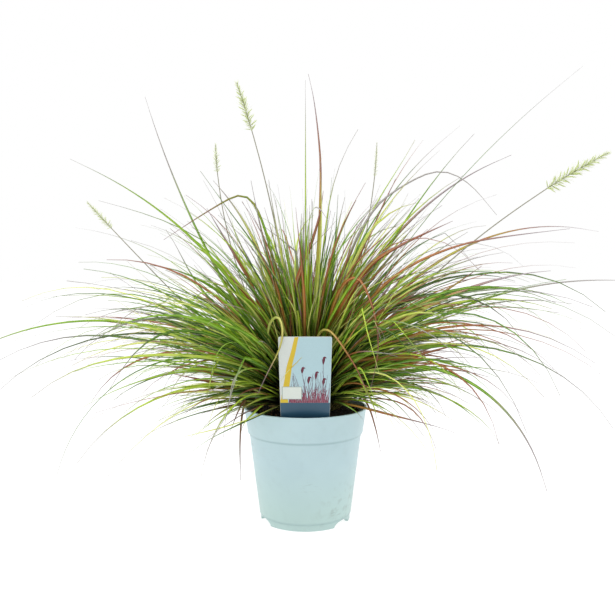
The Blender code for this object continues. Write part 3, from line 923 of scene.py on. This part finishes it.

# %% [markdown]
# ## The leaf blade's finish
#
# A leaf of this grass is a thin, slightly waxy blade with raised veins along it. Most are yellow-green to mid
# green. Some have turned orange-brown or burgundy, which starts at the tip and works down. Nearly all end in
# a hair-thin tip that has dried to a greyish purple. Near the crown the blades are painted near-black, partly
# for dark sheaths and partly as painted shade inside the clump.
#
# Each blade carries four numbers that the shader mixes pigments by: how far along the blade a point is, the
# blade's tone, how red it has turned and how far down its tip has dried. The veins are stripes across the
# blade, drawn from a fifth number, and are as coarse as they need to be to show.


# %% Leaf material
def leaf_material(name, greens, reds, tip, sheath):
    material, add, shader = new_material(name)
    along, across, tone, red, dry = (
        add("Attribute", output="Fac", attribute_name=number)
        for number in ("along", "across", "tone", "red", "dry")
    )
    place = add("TexCoord", output="Object")
    blotches = add("TexNoise", {"Vector": place, "Scale": 45.0, "Detail": 2.0})
    wander = add("MapRange", {0: blotches, 3: -0.22, 4: 0.22})
    toned = add("Math", {0: tone, 1: wander}, operation="ADD")
    colour = add("ValToRGB", {"Fac": toned}, stops=greens)
    front = add("Math", {0: along, 1: wander}, operation="ADD")
    reddened = add("ValToRGB", {"Fac": front}, stops=reds)
    # A blade turns red from its tip down: all of it where red is 1, and none where red is 0.
    reach = add("Math", {0: red, 1: 1.5, 2: front}, operation="MULTIPLY_ADD")
    reach = add("MapRange", {0: reach, 1: 1.05, 2: 1.45})
    has_red = add("Math", {0: red, 1: 0.01}, operation="GREATER_THAN")
    reach = add("Math", {0: reach, 1: has_red}, operation="MULTIPLY")
    # A paler midrib: partly the midrib's own colour, partly a painted highlight along the keel.
    from_rib = add("Math", {0: across}, operation="ABSOLUTE")
    midrib_and_painted_highlight = add("MapRange", {0: from_rib, 1: 0.06, 2: 0.20, 3: 0.45, 4: 0.0})
    # The dried tip, and the foot in its sheath, painted near-black: partly the sheath's own colour, partly
    # painted shade low in the clump.
    start = add("Math", {0: 1.0, 1: dry}, operation="SUBTRACT")
    past = add("Math", {0: along, 1: start}, operation="SUBTRACT")
    dried = add("MapRange", {0: past, 1: 0.0, 2: 0.20, 3: 0.0, 4: 0.9})
    # Painted shade in the sheath colour over the lowest fifth of each blade.
    foot = add("MapRange", {0: along, 1: 0.02, 2: 0.20, 3: 0.9, 4: 0.0})
    # Painted shade near the crown, where the outer leaves would shade the inside of the clump, with some
    # aged, dark growth in it. The youngest blades get less of this painted shade.
    inward = {0: place, 1: (0.0, 0.0, 0.165)}
    inward = add("VectorMath", inward, "Value", operation="DISTANCE")
    ragged = add("Math", {0: wander, 1: 0.12, 2: inward}, operation="MULTIPLY_ADD")
    old_growth_and_painted_shade = add("MapRange", {0: ragged, 1: 0.070, 2: 0.158, 3: 0.98, 4: 0.0})
    young = add("MapRange", {0: tone, 1: 0.55, 2: 0.75, 3: 1.0, 4: 0.12})
    old_growth_and_painted_shade = add("Math", {0: old_growth_and_painted_shade, 1: young}, operation="MULTIPLY")
    layers = [(reach, reddened), (midrib_and_painted_highlight, linear("#c9cf86")), (dried, linear(tip))]
    # The last two layers paint the sheath colour and the painted shade at the foot and near the crown.
    colour = layered(add, colour, layers + [(foot, linear(sheath)), (old_growth_and_painted_shade, linear(sheath))])
    # Veins: five ridges to each half of the blade.
    ridges = add("Math", {0: across, 1: 5 * math.pi}, operation="MULTIPLY")
    ridges = add("Math", {0: ridges}, operation="SINE")
    shade = add("MapRange", {0: ridges, 1: -1.0, 2: 1.0, 3: 0.86, 4: 1.04})
    mix = {FACTOR: 1.0, FIRST: colour, SECOND: shade}
    colour = add("Mix", mix, RESULT, data_type="RGBA", blend_type="MULTIPLY")
    bump = add("Bump", {"Strength": 0.3, "Distance": 0.2 * MM, "Height": ridges})
    feed(shader, {"Base Color": colour, "Normal": bump, "Roughness": 0.45, "Specular IOR Level": 0.30})
    return material


GREENS = [(0.0, "#2a4e0a"), (0.25, "#4a7e10"), (0.5, "#80b01c"), (0.75, "#b4d038"), (1.0, "#e4ea80")]
REDS = [(0.0, "#86822a"), (0.3, "#b07e2e"), (0.55, "#ac6434"), (0.8, "#965040"), (1.0, "#8c5c5c")]
# The sheath colour is near-black: it paints both the sheaths and the painted shade deep in the clump.
leaf_finish = leaf_material("grass_blade_waxy", GREENS, REDS, tip="#a49a9e", sheath="#121708")

# %% [markdown]
# ## Growing blades
#
# A blade's line leaves the crown and bends step by step. Its angle above the horizontal follows the bundle's
# own, plus that blade's differences. Some blades are folded over part-way, as a bruised leaf is. No blade
# lies flat: each is rolled about its own line, and twists along it.

# %% One blade's line
POINTS = 15  # along a blade of a bundle
FINE_POINTS = 33  # along a blade that stands out on its own
shares = np.linspace(0.0, 1.0, POINTS)
fine_shares = np.linspace(0.0, 1.0, FINE_POINTS)
steps_along = (shares[1:] + shares[:-1]) / 2
TIP_WIDTH = 0.50 * MM  # a real tip is finer, but would not show


def slow_wave(chance, size):
    """A slow wave of random height along a blade's steps, in radians. size is its usual height in degrees."""
    wave = np.sin(chance.uniform(3, 8) * steps_along + chance.uniform(0, math.tau))
    return math.radians(chance.normal(0, size)) * wave


def blade_line(root, heading, angles, swing, length):
    """Points of a blade that starts at root. angles holds its rise at each step, in radians."""
    turn = heading + swing * steps_along**1.5
    rise = np.stack([np.cos(angles) * np.cos(turn), np.cos(angles) * np.sin(turn), np.sin(angles)], 1)
    return np.concatenate([[root], root + np.cumsum(rise * length / len(angles), axis=0)])


def blade_facings(line, level, roll, twist):
    """The direction across the blade at each point: level at first, then rolled about the line."""
    tangent = np.gradient(line, axis=0)
    tangent /= np.linalg.norm(tangent, axis=1)[:, None]
    side = level - tangent * (tangent @ level)[:, None]
    side /= np.linalg.norm(side, axis=1)[:, None]
    up = np.cross(tangent, side)
    rolled = (roll + twist * np.linspace(0, 1, len(line)))[:, None]
    return side * np.cos(rolled) + up * np.sin(rolled)


def blade_widths(width, full, taper_from, places=shares, power=1.0):
    """Half widths along a blade: narrow in its sheath, full by `full`, and then a long taper to its tip."""
    rise = 0.55 + 0.45 * np.clip(places / full, 0, 1)
    taper = np.clip((1 - places) / (1 - taper_from), 0, 1) ** power
    return np.maximum(width / 2 * rise * taper, TIP_WIDTH / 2)


def smooth_through(stops, count=FINE_POINTS):
    """A smooth line past these stops: corners are cut again and again, then the points spaced evenly."""
    line = np.array(stops)
    for _ in range(5):
        cut = np.empty((2 * len(line) - 2, 3))
        cut[0::2] = line[:-1] * 0.75 + line[1:] * 0.25
        cut[1::2] = line[:-1] * 0.25 + line[1:] * 0.75
        line = np.concatenate([line[:1], cut, line[-1:]])
    travelled = np.concatenate([[0.0], np.cumsum(np.linalg.norm(np.diff(line, axis=0), axis=1))])
    even = np.linspace(0, travelled[-1], count)
    return np.stack([np.interp(even, travelled, line[:, axis]) for axis in range(3)], 1)


# %% [markdown]
# ## The bundles of leaves
#
# Every bundle of one kind gets the same number of blades, spread over its own wedge and a little into its
# neighbours', so that the clump has no seams. Blades differ in length, width, bend and colour. Where the
# label stands, and inside the pot, a blade would be pushed aside, so one that would pass through either is
# drawn again. A few blades at the front are folded or curled in their own way, so each of those has its own
# line.

# %% What the blades keep clear of
box_low, box_high = (np.array(corner) for corner in cad_box)
GAP = 2 * MM  # to each side of the label and the pot
LABEL_BACK = -58 * MM  # a blade behind this is behind the label
WITHIN_SOIL = 60 * MM  # a blade this close to the axis is well inside the rim
PAST_BOX = 8 * MM  # a blade may pass the solid model's box by this much
LOWEST = 10 * MM  # above the floor


def is_clear(line):
    """True where no point of a line is in front of the label, in the pot, or out of the solid model's box."""
    x, y, z = line.T
    beside_label = (np.abs(x) > label_high.x + GAP) | (y > LABEL_BACK) | (z > label_high.z + 1.5 * GAP)
    out = np.hypot(x, y)
    off_pot = (out > RIM + GAP) | (z > TOP + 2 * GAP) | (out < WITHIN_SOIL)
    inside = (line > box_low - PAST_BOX).all() and (line < box_high + PAST_BOX).all()
    return beside_label.all() and off_pot.all() and inside and z[1:].min() > LOWEST


# %% Blades with their own line
# Each has its bundle, its width in mm, its tone, how red it is, how far its tip has dried, and its stops in
# mm from the middle of the pot's foot.
OWN_BLADES = [
    ("low_12", 4.4, 0.80, 0.0, 0.15, [(-20, -32, 176), (-48, -60, 221), (-63, -75, 240), (-80, -82, 251),
     (-95, -88, 250), (-107, -92, 238), (-116, -96, 221),
     (-121, -100, 199), (-125, -102, 178)]),
    ("low_12", 3.8, 0.95, 0.35, 0.25, [(-14, -28, 176), (-30, -45, 225), (-50, -60, 252), (-46, -72, 280),
     (-33, -86, 290), (-27, -96, 270), (-32, -100, 246),
     (-46, -102, 221), (-62, -104, 186)]),
    ("low_01", 3.6, 0.90, 0.5, 0.15, [(8, -30, 176), (10, -50, 240), (20, -70, 270), (32, -86, 270),
     (44, -100, 256), (56, -110, 238), (67, -118, 220), (82, -126, 182)]),
    ("high_08", 4.4, 0.80, 0.8, 0.10, [(14, -16, 178), (26, -50, 260), (39, -78, 313), (54, -96, 337),
     (68, -106, 337), (79, -114, 314), (88, -120, 282), (90, -126, 247),
     (80, -130, 204)]),
    ("high_06", 4.2, 0.45, 0.35, 0.12, [(-10, -14, 178), (-34, -25, 318), (-47, -30, 380), (-60, -34, 420),
     (-72, -38, 440), (-88, -40, 444), (-104, -42, 436),
     (-137, -45, 416), (-184, -50, 385)]),
    ("high_06", 6.0, 0.95, 0.0, 0.30, [(-10, -10, 178), (-24, -20, 250), (-44, -30, 320), (-62, -35, 372),
     (-79, -38, 408), (-101, -40, 440), (-120, -42, 462)]),
    ("high_08", 3.6, 0.50, 0.0, 0.70, [(12, -10, 178), (40, -20, 320), (85, -28, 425), (130, -34, 458),
     (174, -40, 478), (212, -44, 462), (249, -48, 417)]),
    ("high_07", 7.5, 0.50, 1.0, 0.12, [(10, -20, 178), (28, -38, 250), (52, -50, 306), (81, -60, 351),
     (106, -66, 369), (134, -70, 384), (186, -80, 408)]),
    ("heart_04", 8.0, 0.65, 0.8, 0.05, [(-4, -14, 178), (-22, -20, 264), (-21, -22, 298), (-8, -24, 340),
     (9, -24, 381), (20, -25, 420), (24, -26, 450)]),
    ("heart_04", 4.6, 0.70, 0.5, 0.25, [(4, -14, 178), (10, -20, 264), (16, -22, 340), (20, -24, 420),
     (21, -22, 484), (17, -20, 530), (11, -18, 575), (4, -17, 604)]),
    ("low_11", 6.0, 0.50, 1.0, 0.30, [(-18, -20, 178), (-34, -32, 235), (-52, -40, 280), (-72, -50, 333),
     (-86, -54, 356), (-126, -64, 425)]),
    ("low_12", 6.5, 0.50, 0.9, 0.15, [(-16, -24, 176), (-38, -38, 240), (-57, -45, 282), (-72, -50, 309),
     (-96, -56, 335), (-128, -64, 362)]),
    ("low_02", 6.5, 0.85, 0.35, 0.08, [(24, -22, 176), (60, -42, 232), (104, -60, 274), (147, -75, 300),
     (180, -82, 321), (222, -90, 352)]),
    ("low_01", 4.0, 0.50, 0.9, 0.30, [(20, -26, 174), (60, -58, 280), (115, -84, 345), (186, -104, 378),
     (242, -116, 388), (318, -128, 397)]),
    ("skirt_01", 5.0, 0.70, 0.8, 0.10, [(28, -30, 172), (45, -60, 222), (83, -75, 234), (120, -88, 233),
     (157, -96, 244), (214, -110, 262)]),
    ("skirt_01", 4.6, 0.75, 0.0, 0.15, [(30, -36, 170), (52, -62, 205), (66, -84, 215), (74, -94, 200),
     (86, -102, 178), (90, -106, 160)]),
    ("skirt_01", 3.0, 0.60, 0.7, 0.20, [(34, -28, 170), (66, -52, 190), (82, -62, 172), (92, -68, 140),
     (98, -70, 110)]),
    ("skirt_12", 3.6, 0.45, 0.8, 0.20, [(-30, -30, 170), (-60, -58, 196), (-82, -72, 176), (-96, -82, 140)]),
    ("skirt_12", 3.0, 0.35, 0.6, 0.30, [(-32, -28, 170), (-62, -48, 192), (-80, -58, 178), (-86, -62, 130),
     (-85, -62, 70)]),
]


def add_own_blade(blades, width, tone, red, dry, stops):
    line = smooth_through(np.array(stops) * MM)
    across = blade_facings(line, level=np.array([0.0, 1.0, 0.0]), roll=1.0, twist=0.5)
    half = blade_widths(width * MM, full=0.12, taper_from=0.45, places=fine_shares, power=0.8)
    blades.add(line, across, half, along=fine_shares, tone=tone, red=red, dry=dry)


# %% Grow the bundles
LEAF_WIDTH = {"skirt": 3.8 * MM, "low": 4.3 * MM, "high": 4.8 * MM, "heart": 4.8 * MM}
BLADES = {"skirt": 38, "low": 52, "high": 54, "heart": 48}
# How much longer a bundle's blades are than its solid, out to the right and out to the left.
WIDER = {"skirt": (-0.28, -0.40), "low": (0.34, 0.18), "high": (0.08, 0.0), "heart": (0.0, 0.0)}
# How many degrees the blades out to the right are raised by, and those out to the left lowered by.
LEANING = {"skirt": (2.0, 10.0), "low": (2.0, 10.0), "high": (0.0, 3.0), "heart": (0.0, 0.0)}
SPREAD = {"skirt": 15.0, "low": 15.5, "high": 26.0, "heart": 50.0}  # degrees to each side of a bundle
DROOP = {"skirt": 2.0, "low": 13.0, "high": 11.0, "heart": 2.0}  # degrees further down at a blade's tip
STRAYS, STRAYING = 1 / 6, 2.2  # one blade in six strays this much further from its bundle
FOLDED = 0.02  # the share of the blades that are folded over
TONE = (0.54, 0.31)  # a blade's usual tone, and how widely tones vary


def grow_bundle(guide, chance):
    name = guide.node.removeprefix("leaf_tuft_")
    kind = name.split("_")[0]
    blades = Lines()
    root = guide.middles[0]
    radius, azimuth = math.hypot(root[0], root[1]), math.atan2(root[1], root[0])
    # The clump is wider than it is deep, except for its skirt. More leaves have turned red on its right.
    side = int(root[0] < 0)
    reach = guide.length * (1 + WIDER[kind][side] * math.cos(azimuth) ** 2)
    red_share = 0.32 + 0.10 * math.cos(azimuth)
    count = 0
    while count < BLADES[kind]:
        length = reach * (0.42 + 0.85 * chance.beta(1.3, 2.4))
        off = chance.normal(0, 0.5) * math.radians(SPREAD[kind])
        stray = STRAYING if chance.random() < STRAYS else 1.0
        heading = azimuth + off + chance.normal(0, math.radians(15 * stray))
        start = around_axis(azimuth + off * chance.uniform(0.6, 1.4), radius * chance.uniform(0.3, 1.15), 0)
        start.z = crown_low.z + (root[2] - crown_low.z) * chance.uniform(0.5, 0.95)
        lift = math.radians(chance.normal(-0.5 + LEANING[kind][side] * math.cos(azimuth), 7.5 * stray))
        sag = math.radians(chance.normal(DROOP[kind], 17.0))
        angles = guide.angle_at(steps_along * length / guide.length) + lift - sag * steps_along**2
        angles = angles + slow_wave(chance, 5.0)
        fold_at, fold = chance.uniform(0.6, 0.9), math.radians(chance.uniform(25, 60))
        if chance.random() < FOLDED:
            angles = angles - fold * (steps_along > fold_at)
        swing, sway = math.radians(chance.normal(0, 20)), slow_wave(chance, 6.0)
        line = blade_line(np.array(start), heading + sway, angles, swing, length)
        level = np.array([-math.sin(heading), math.cos(heading), 0.0])
        across = blade_facings(line, level, chance.normal(0, 0.8), chance.normal(0, 1.2))
        half = blade_widths(LEAF_WIDTH[kind] * chance.uniform(0.5, 1.2), 0.12, chance.uniform(0.3, 0.6))
        tone = float(np.clip(chance.normal(*TONE), 0, 1))
        red = chance.uniform(0.15, 1.0) if chance.random() < red_share else 0.0
        dry = chance.uniform(0.05, 0.40)
        if is_clear(line):
            blades.add(line, across, half, along=shares, tone=tone, red=red, dry=dry)
            count += 1
    for owner, *shape in OWN_BLADES:
        if owner == name:
            add_own_blade(blades, *shape)
    piece = blades.sweep("blades_" + name, leaf_finish)
    stand_for(piece, "leaf_blade", guide.node)
    return triangles(piece)


chance = np.random.default_rng(5)
total = sum(grow_bundle(guide, chance) for guide in tufts)
print(f"{len(tufts)} bundles of {min(BLADES.values())} to {max(BLADES.values())} blades, {total} triangles")

# %% [markdown]
# ## The long leaves
#
# Some leaves stand well clear of the clump, up to half a metre from the crown. Each follows its own solid
# exactly, because these set the plant's outline.


# %% Grow the long leaves
def grow_long_leaf(guide, chance):
    blades = Lines()
    line = smooth_through(guide.middles)
    out = line[-1] - line[0]
    level = np.array([-out[1], out[0], 0.0]) / math.hypot(out[0], out[1])
    across = blade_facings(line, level, chance.uniform(0.5, 1.1), chance.normal(0, 0.6))
    half = blade_widths(guide.widths.max(), full=0.2, taper_from=0.4, places=fine_shares, power=0.8)
    red = chance.uniform(0.1, 0.5) if chance.random() < 0.5 else 0.0
    values = {"tone": chance.uniform(0.15, 0.7), "red": red, "dry": chance.uniform(0.2, 0.5)}
    blades.add(line, across, half, along=fine_shares, **values)
    piece = blades.sweep("blade_" + guide.node, leaf_finish)
    stand_for(piece, "leaf_blade", guide.node)
    return triangles(piece)


print(sum(grow_long_leaf(guide, chance) for guide in long_leaves), "triangles in the long leaves")

# %% [markdown]
# ## The flower spikes
#
# A fountain grass flower is a bottlebrush: a thin axis with small spikelets close against it, each in a ruff
# of long fine bristles that slant towards the tip. Particles or hair could make the bristles, but they would
# not be a mesh. Here a Geometry Nodes tree sets tapered bristles along the end of each stem, each turned by
# the golden angle from the last, which is how a plant spaces them.


# %% Spike material
# Bristles and spikelets: pale, dry and matte, yellow-green. The stem is a duller grey-green.
def spike_material():
    material, add, shader = new_material("grass_flower_bristle")
    place = add("TexCoord", output="Object")
    kind = add("Attribute", output="Fac", attribute_name="kind")
    stops = [(0.0, "#87847c"), (0.30, "#8b8a66"), (0.5, "#9aa65c"), (0.75, "#b8c486"), (1.0, "#ccd4a4")]
    uneven = add("TexNoise", {"Vector": place, "Scale": 400.0})
    uneven = add("MapRange", {0: uneven, 3: -0.12, 4: 0.12})
    factor = add("Math", {0: kind, 1: uneven}, operation="ADD")
    colour = add("ValToRGB", {"Fac": factor}, stops=stops)
    feed(shader, {"Base Color": colour, "Roughness": 0.7, "Specular IOR Level": 0.25})
    return material


# %% The spike's tree
GOLDEN_ANGLE = math.pi * (3 - math.sqrt(5))


def spike_tree():
    add, given = new_tree(
        "bottlebrush",
        ("Spike Start", "Float", 0.8),
        ("Bristles", "Int", 90),
        ("Bristle Length", "Float", 9.0 * MM),
        ("Bristle Radius", "Float", 0.16 * MM),
        ("Spikelets", "Int", 40),
        ("Spikelet Length", "Float", 9.0 * MM),
        ("Tilt", "Float", math.radians(64)),
    )
    curve = add("MeshToCurve", {"Mesh": given["Geometry"]})
    size = {"Name": "half_width"}
    size = add("InputNamedAttribute", size, data_type="FLOAT")
    section = add("CurvePrimitiveCircle", {"Resolution": 7, "Radius": 1.0})
    stalk = {"Curve": curve, "Profile Curve": section, "Scale": size, "Fill Caps": True}
    stalk = add("CurveToMesh", stalk)
    spike = {"Curve": curve, "Start": given["Spike Start"], "End": 1.0}
    spike = add("TrimCurve", spike)
    # A bristle is a thin cone; a spikelet is a stretched ball that stands on its end.
    bristle = {"Vertices": 3, "Radius Top": 0.05 * MM, "Radius Bottom": given["Bristle Radius"]}
    bristle = add("MeshCone", {**bristle, "Depth": given["Bristle Length"]})
    length = given["Spikelet Length"]
    ball = add("MeshIcoSphere", {"Radius": 0.5, "Subdivisions": 1})
    thin = add("Math", {0: length, 1: 0.13}, operation="MULTIPLY")
    half = add("Math", {0: length, 1: 0.5}, operation="MULTIPLY")
    sized = add("CombineXYZ", {"X": thin, "Y": thin, "Z": length})
    up = add("CombineXYZ", {"Z": half})
    spikelet = {"Geometry": ball, "Scale": sized, "Translation": up}
    spikelet = add("Transform", spikelet)
    parts = [(stalk, 0.1)]
    for count, shape, lean, mark in (("Bristles", bristle, 0.8, 1.0), ("Spikelets", spikelet, 1.0, 0.8)):
        points = {"Curve": spike, "Count": given[count]}
        points = add("CurveToPoints", points, mode="COUNT")
        tangent = points.node.outputs["Tangent"]
        turn = add("AlignRotationToVector", {"Vector": tangent}, axis="Z")
        index = add("InputIndex")
        golden = add("Math", {0: index, 1: GOLDEN_ANGLE}, operation="MULTIPLY")
        wobble = add("RandomValue", {2: 0.65, 3: 1.25, "Seed": 11}, **RANDOM_FLOAT)
        # Towards the spike's tip they close up and are shorter.
        share = add("Math", {0: index, 1: given[count]}, operation="DIVIDE")
        close = add("MapRange", {0: share, 3: lean, 4: 0.5 * lean})
        tilt = add("Math", {0: given["Tilt"], 1: close}, operation="MULTIPLY")
        tilt = add("Math", {0: tilt, 1: wobble}, operation="MULTIPLY")
        for axis, angle in (("Z", golden), ("X", tilt)):
            angles = add("CombineXYZ", {axis: angle})
            by = add("EulerToRotation", {0: angles})
            by = {"Rotation": turn, "Rotate By": by}
            turn = add("RotateRotation", by, rotation_space="LOCAL")
        taper = add("MapRange", {0: share, 1: 0.55, 2: 1.0, 3: 1.0, 4: 0.45})
        varied = add("RandomValue", {2: 0.7, 3: 1.1, "Seed": 21}, **RANDOM_FLOAT)
        scale = add("Math", {0: taper, 1: varied}, operation="MULTIPLY")
        brush = {"Points": points, "Instance": shape, "Rotation": turn, "Scale": scale}
        parts.append((add("InstanceOnPoints", brush), mark))
    everything = add("JoinGeometry")
    for part, mark in parts:
        real = add("RealizeInstances", {"Geometry": part})
        marked = {"Geometry": real, "Name": "kind", "Value": mark}
        feed(everything.node, {"Geometry": add("StoreNamedAttribute", marked, **ON_POINTS)})
    soft = add("SetShadeSmooth", {"Geometry": everything})
    return end_tree(add, soft, given)


# %% Grow the stems and spikes
BARE_RINGS = 7  # a stem's solid has this many rings before its spike
STEM_POINTS = 30
BRISTLE_SPACING, SPIKELET_SPACING = 0.4 * MM, 1.2 * MM  # along the spike


def grow_stem(guide, tree, material):
    spike_start = guide.shares[BARE_RINGS]
    spike_length = guide.length * (1 - spike_start)
    reach = guide.widths[BARE_RINGS:].max() / 2
    line = smooth_through(guide.middles, STEM_POINTS)
    source = bpy.data.meshes.new(guide.node + "_line")
    source.from_pydata([tuple(point) for point in line], [(i, i + 1) for i in range(STEM_POINTS - 1)], [])
    half = np.interp(np.linspace(0, 1, STEM_POINTS), [0, spike_start, 1], [1.0, 0.65, 0.3]) * MM
    source.attributes.new("half_width", "FLOAT", "POINT").data.foreach_set("value", half)
    values = {
        "Spike Start": spike_start,
        "Bristles": int(spike_length / BRISTLE_SPACING),
        "Bristle Length": reach * 1.25,
        "Bristle Radius": 0.2 * MM,
        "Spikelets": int(spike_length / SPIKELET_SPACING),
        "Spikelet Length": reach * 1.15,
        "Material": material,
    }
    piece = grown("flower_" + guide.node, new_object(guide.node + "_line", source), tree, values)
    stand_for(piece, "flower_spike", guide.node)
    print(f"{guide.node}: spike {spike_length / MM:.0f} mm, bristles {values['Bristle Length'] / MM:.1f} mm")
    return triangles(piece)


bottlebrush, bristle_finish = spike_tree(), spike_material()
print(sum(grow_stem(guide, bottlebrush, bristle_finish) for guide in stems), "triangles in the stems")

# %% Keep the two boxes, and finish
boxes = {"cad": cad_box, "visual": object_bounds()}
{key: [list(corner) for corner in box] for key, box in boxes.items()}
